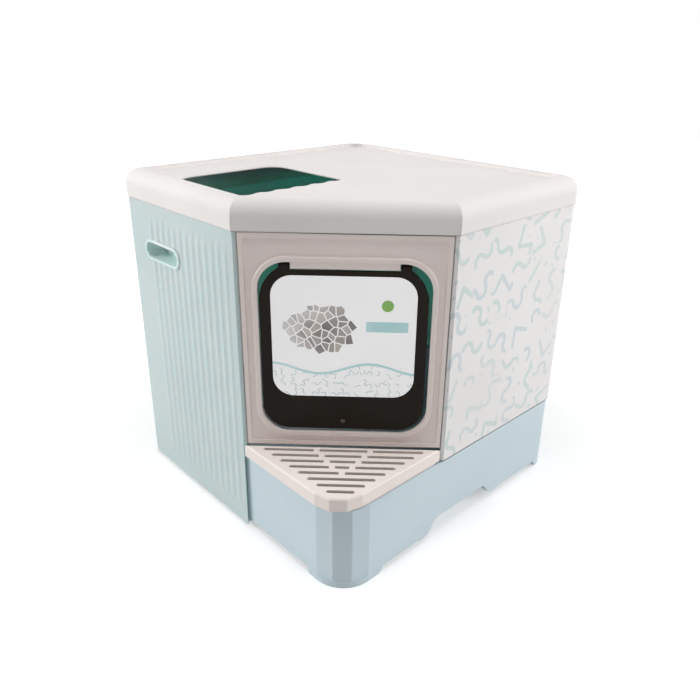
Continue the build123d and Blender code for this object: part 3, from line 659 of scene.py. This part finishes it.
@dataclass(frozen=True)
class LabelFinish(MouldedFinish):
    """Thin white film with a plain pattern: a band of strokes, a bed of pebbles, a bar and a dot."""

    ink: Colour = srgb(176, 192, 192)
    bar: Colour = srgb(160, 198, 200)
    pebble_pale: Colour = srgb(168, 158, 150)
    pebble_dark: Colour = srgb(74, 66, 62)
    dot: Colour = srgb(112, 160, 72)
    cell: float = 0.0115
    arc: float = 0.004
    most_arcs: float = 3.99
    half_width: float = 0.0007
    band_top: float = 0.214
    band_wave: float = 0.006
    band_turns: float = 58.0
    stripe_rise: float = 0.002
    stripe_half: float = 0.0016
    bed_middle: Pair = (-0.026, 0.262)
    bed_reach: Pair = (0.040, 0.027)
    pebble: float = 0.0085
    pebble_edge: Pair = (0.05, 0.09)
    bar_middle: Pair = (0.045, 0.266)
    bar_half: Pair = (0.021, 0.0045)
    bar_round: float = 0.0015
    dot_middle: Pair = (0.045, 0.290)
    dot_radius: float = 0.0065

    def ground(self, wiring: Wiring, coordinates: Socket) -> Socket:
        """Draws the label in the plane of the leaf.

        Args:
            wiring: Tree to work in.
            coordinates: Place on the piece.

        Returns:
            The colour.
        """
        x, y, up = wiring.split(coordinates)
        along = wiring.along_doorway(x, y)
        place = wiring.combine(along, up)
        colour = self.with_band(wiring, place, along, up)
        colour = self.with_pebbles(wiring, place, colour)
        return self.with_signs(wiring, place, colour)

    def with_band(self, wiring: Wiring, place: Socket, along: Socket, up: Socket) -> Socket:
        """Draws the wavy band of strokes and the stripe on its crest.

        Args:
            wiring: Tree to work in.
            place: Coordinates on the label.
            along: Distance along the label.
            up: Height above the floor.

        Returns:
            The colour.
        """
        strokes = place_effect(wiring, Effect.STROKE_PRINT, {
            "Vector": place, "Cell": self.cell, "Arc Length": self.arc, "Most Arcs": self.most_arcs,
            "Half Width": self.half_width,
        })
        crest = wiring.math("SINE", wiring.math("MULTIPLY", along, self.band_turns))
        level = wiring.math("MULTIPLY_ADD", crest, self.band_wave, self.band_top)
        above = wiring.math("SUBTRACT", up, level)
        band = wiring.math("LESS_THAN", above, 0.0)
        from_stripe = wiring.math("ABSOLUTE", wiring.math("SUBTRACT", above, self.stripe_rise))
        stripe = wiring.math("LESS_THAN", from_stripe, self.stripe_half)
        colour = wiring.mix(wiring.math("MULTIPLY", strokes["Mask"], band), self.colour, self.ink)
        return wiring.mix(stripe, colour, self.bar)

    def with_pebbles(self, wiring: Wiring, place: Socket, colour: Socket) -> Socket:
        """Lays the bed of pebbles on the label.

        Args:
            wiring: Tree to work in.
            place: Coordinates on the label.
            colour: Colour under them.

        Returns:
            The colour.
        """
        stones = wiring.cells(place, 1 / self.pebble)
        gaps = wiring.cells(place, 1 / self.pebble, feature="DISTANCE_TO_EDGE")
        tone = wiring.split(stones.outputs["Color"])[0]
        pebble = wiring.mix(tone, self.pebble_pale, self.pebble_dark)
        core = self.inside(wiring, stones.outputs["Position"], self.bed_middle, self.bed_reach)
        bed = wiring.math("LESS_THAN", core, 1.0)
        solid = wiring.ramp(gaps.outputs["Distance"], *self.pebble_edge)
        return wiring.mix(wiring.math("MULTIPLY", bed, solid), colour, pebble)

    def with_signs(self, wiring: Wiring, place: Socket, colour: Socket) -> Socket:
        """Lays the bar and the dot on the label.

        Args:
            wiring: Tree to work in.
            place: Coordinates on the label.
            colour: Colour under them.

        Returns:
            The colour.
        """
        away = wiring.vector("ABSOLUTE", wiring.vector("SUBTRACT", place, (*self.bar_middle, 0.0)))
        beyond = wiring.vector("SUBTRACT", away, (*self.bar_half, 0.0))
        past = wiring.vector("MAXIMUM", beyond, (0.0, 0.0, 0.0))
        bar = wiring.math("LESS_THAN", wiring.length(past), self.bar_round)
        colour = wiring.mix(bar, colour, self.bar)
        spot = self.inside(wiring, place, self.dot_middle, (self.dot_radius, self.dot_radius))
        return wiring.mix(wiring.math("LESS_THAN", spot, 1.0), colour, self.dot)

    @staticmethod
    def inside(wiring: Wiring, place: Socket, middle: Pair, reach: Pair) -> Socket:
        """Gives the distance from an ellipse's middle, in shares of its reach.

        Args:
            wiring: Tree to work in.
            place: Coordinates on the label.
            middle: The ellipse's middle.
            reach: Its half axes.

        Returns:
            0 in the middle and 1 at the edge.
        """
        away = wiring.vector("SUBTRACT", place, (*middle, 0.0))
        return wiring.length(wiring.vector("DIVIDE", away, (*reach, 1.0)))


@dataclass(frozen=True)
class SteelFinish:
    """Plain steel with fine streaks."""

    name: str
    colour: Colour
    streak: Colour
    roughness: float = 0.24
    roughness_spread: float = 0.2
    streak_scale: float = 2400.0
    streak_stretch: float = 0.06
    streak_octaves: float = 3.0

    def material(self) -> bpy.types.Material:
        """Builds the material.

        Returns:
            The material, ready to assign.
        """
        material, wiring, shader = new_material(self.name)
        coordinates = wiring.add("ShaderNodeTexCoord").outputs["Object"]
        stretched = wiring.vector("MULTIPLY", coordinates, (1.0, 1.0, self.streak_stretch))
        streaks = wiring.noise(stretched, self.streak_scale, self.streak_octaves)
        wiring.feed_all(shader, {
            "Base Color": wiring.mix(streaks, self.colour, self.streak),
            "Roughness": wiring.math("MULTIPLY_ADD", streaks, self.roughness_spread, self.roughness),
            "Metallic": 1.0,
        })
        return material


Finish = MouldedFinish | SteelFinish

WHITE_COVER = MouldedFinish(
    "cover_white", srgb(243, 239, 237), srgb(237, 232, 230), roughness=0.65, edge_round=0.002, specular=0.15,
)
WHITE_STEP = MouldedFinish("step_white", srgb(245, 235, 229), srgb(239, 228, 222), roughness=0.4)
MINT_WALL = WallFinish(
    "wall_mint", srgb(204, 218, 218), srgb(197, 212, 212), roughness=0.55, specular=0.25, sink=0.58,
)
# painted light: the grip's pale inner colour lifts the shade in the grip's hollow
MINT_GRIP = WallFinish(
    "grip_mint", srgb(224, 240, 238), srgb(218, 238, 236), roughness=0.5, sink=0.3, inner=srgb(230, 254, 251),
)
WHITE_DOOR = DoorFinish(
    "door_white", srgb(244, 231, 226), srgb(238, 224, 219), roughness=0.36, specular=0.5, edge_round=0.0012,
)
BLUE_PAN = MouldedFinish(
    "pan_blue", srgb(207, 222, 229), srgb(201, 217, 225), roughness=0.45, specular=0.3,
)
PRINTED_PANEL = PrintedFinish(
    "panel_printed", srgb(238, 236, 235), srgb(233, 230, 229), roughness=0.5, specular=0.3,
)
SMOKED_LEAF = MouldedFinish(
    "leaf_smoked", (0.020, 0.0158, 0.0122), (0.025, 0.020, 0.016), roughness=0.3, specular=0.06,
    cloud_scale=14.0, grain_strength=0.08,
)
DARK_PIN = MouldedFinish(
    "pin_dark", (0.012, 0.011, 0.01), (0.018, 0.016, 0.015), roughness=0.4, edge_round=0.0002,
)
# painted light: the label glows so that it stays bright in the shade of the cut corner
LABEL_FILM = LabelFinish(
    "film_label", srgb(240, 240, 241), srgb(235, 235, 236), roughness=0.4, grain_strength=0.05,
    edge_round=0.0001, glow=0.3,
)
GREY_STUD = SteelFinish("stud_grey", srgb(92, 88, 85), srgb(70, 66, 64))
CLIP_STEEL = SteelFinish("clip_spring", srgb(188, 190, 192), srgb(160, 163, 166))


@dataclass
class SubAssembly:
    """CAD nodes that move together, with the finish of each."""

    nodes: dict[str, Any]
    finishes: dict[str, Finish]

    def dress(self) -> None:
        """Gives each CAD node its finish."""
        made: dict[str, bpy.types.Material] = {}
        for name, finish in self.finishes.items():
            if finish.name not in made:
                made[finish.name] = finish.material()
            mesh = self.nodes[name].data
            mesh.materials.clear()
            mesh.materials.append(made[finish.name])
            LOG.info("dressed %s in %s", name, finish.name)


class Housing(SubAssembly):
    """Panels, grips and clips, which stand still."""

    def __init__(self, nodes: dict[str, Any]) -> None:
        """Sets the finish of each node."""
        super().__init__(nodes, {
            "left_wall": MINT_WALL, "right_wall": MINT_WALL, "back_wall": MINT_WALL,
            "front_panel": PRINTED_PANEL, "door_panel": WHITE_DOOR,
            "left_grip": MINT_GRIP, "right_grip": MINT_GRIP, "panel_clips": CLIP_STEEL,
        })


class Lid(SubAssembly):
    """Cover with the top entry, which lifts off."""

    def __init__(self, nodes: dict[str, Any]) -> None:
        """Sets the finish of each node."""
        super().__init__(nodes, {"lid": WHITE_COVER})


class Drawer(SubAssembly):
    """Litter pan and the paw step on it, which pull out."""

    def __init__(self, nodes: dict[str, Any]) -> None:
        """Sets the finish of each node."""
        super().__init__(nodes, {"drawer": BLUE_PAN, "grate": WHITE_STEP})


class Flap(SubAssembly):
    """Swinging leaf with its pins, label and stud."""

    def __init__(self, nodes: dict[str, Any]) -> None:
        """Sets the finish of each node."""
        super().__init__(nodes, {
            "flap": SMOKED_LEAF, "hinge_pins": DARK_PIN, "flap_label": LABEL_FILM, "flap_stud": GREY_STUD,
        })


@dataclass(frozen=True)
class SoftBox:
    """One studio lamp."""

    name: str
    place: tuple[float, float, float]
    size: float
    power: float

    def light(self, aim: Vector) -> None:
        """Hangs the lamp and turns it to the object.

        Args:
            aim: Point that it faces.
        """
        bpy.ops.object.light_add(type="AREA", location=self.place)
        lamp = bpy.context.object
        lamp.name = self.name
        lamp.data.shape = "DISK"
        lamp.data.size = self.size
        lamp.data.energy = self.power
        lamp.rotation_euler = (aim - Vector(self.place)).to_track_quat("-Z", "Y").to_euler()


@dataclass(frozen=True)
class Studio:
    """Pale floor, soft lamps and the camera."""

    aim: tuple[float, float, float] = (0.0082, -0.0029, 0.1944)
    azimuth: float = -43.873
    elevation: float = 22.853
    roll: float = 0.837
    distance: float = 0.9
    sensor: float = 36.0
    lens: float = 34.78
    shift: Pair = (-0.0075, -0.0323)
    floor_size: float = 8.0
    floor_colour: Colour = srgb(232, 232, 232)
    floor_roughness: float = 0.9
    floor_glow: float = 0.37
    floor_fade: Pair = (0.35, 0.75)  # from the object's middle, where the floor turns to plain white
    white: Colour = (1.0, 1.0, 1.0)
    dome: float = 0.2
    boxes: tuple[SoftBox, ...] = (
        SoftBox("left_box", (-1.95, 1.9, 1.0), 1.6, 47.5),
        SoftBox("front_box", (1.9, -1.95, 1.0), 1.6, 43.5),
        SoftBox("top_box", (-0.25, -0.25, 2.3), 1.6, 21.0),
    )

    def build(self) -> None:
        """Makes the world, the floor, the lamps and the camera."""
        bpy.context.scene.view_settings.view_transform = "Standard"
        self.light_world()
        self.lay_floor()
        for box in self.boxes:
            box.light(Vector(self.aim))
        self.set_camera()

    @staticmethod
    def seen_directly(wiring: Wiring) -> Socket:
        """Tells rays that look at a surface from light that falls on one.

        Args:
            wiring: Tree to work in.

        Returns:
            1 for rays from the camera, a mirror or glass, and 0 for other light.
        """
        path = wiring.add("ShaderNodeLightPath")
        mirrored = wiring.math("MAXIMUM", path.outputs["Is Glossy Ray"], path.outputs["Is Transmission Ray"])
        return wiring.math("MAXIMUM", path.outputs["Is Camera Ray"], mirrored)

    def light_world(self) -> None:
        """Makes a world that is white to the eye and softer as light."""
        world = bpy.data.worlds.new("studio")
        bpy.context.scene.world = world
        world.use_nodes = True
        wiring = Wiring(world.node_tree)
        seen = self.seen_directly(wiring)
        wiring.feed_all(world.node_tree.nodes["Background"], {
            "Color": self.white, "Strength": wiring.math("MULTIPLY_ADD", seen, 1.0 - self.dome, self.dome),
        })

    def lay_floor(self) -> None:
        """Lays a pale floor that keeps the object's shadow."""
        bpy.ops.object.select_all(action="DESELECT")
        bpy.ops.mesh.primitive_plane_add(size=self.floor_size, location=(0.0, 0.0, 0.0))
        floor = bpy.context.object
        floor.name = "studio_floor"
        material, wiring, shader = new_material("pale_floor")
        away = wiring.length(wiring.add("ShaderNodeTexCoord").outputs["Object"])
        glow = wiring.ramp(away, *self.floor_fade, self.floor_glow, 1.0)
        wiring.feed_all(shader, {
            "Base Color": self.floor_colour, "Roughness": self.floor_roughness, "Specular IOR Level": 0.0,
            "Emission Color": self.white,
            "Emission Strength": wiring.math("MULTIPLY", self.seen_directly(wiring), glow),
        })
        floor.data.materials.append(material)

    def set_camera(self) -> None:
        """Stands the camera where the photograph was taken."""
        turn, rise, tilt = (math.radians(v) for v in (self.azimuth, self.elevation, self.roll))
        out = math.cos(rise)
        back = Vector((math.sin(turn) * out, -math.cos(turn) * out, math.sin(rise)))
        level = Vector((math.cos(turn), math.sin(turn), 0.0))
        right = math.cos(tilt) * level + math.sin(tilt) * back.cross(level)
        up = back.cross(right)
        bpy.ops.object.camera_add()
        camera = bpy.context.object
        camera.data.sensor_width = self.sensor
        camera.data.lens = self.lens
        camera.data.shift_x, camera.data.shift_y = self.shift
        place = Matrix((right, up, back)).transposed().to_4x4()
        place.translation = Vector(self.aim) + self.distance * back
        camera.matrix_world = place
        bpy.context.scene.camera = camera


def main() -> None:
    """Loads the frame, dresses the sub-assemblies and lights them."""
    logging.basicConfig(level=logging.INFO, format="%(name)s: %(message)s")
    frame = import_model()
    for effect in (MouldedSkin(), StrokePrint()):
        effect.build()
    for kind in (Housing, Lid, Drawer, Flap):
        kind(frame["nodes"]).dress()
    Studio().build()


if __name__ == "__main__":
    main()
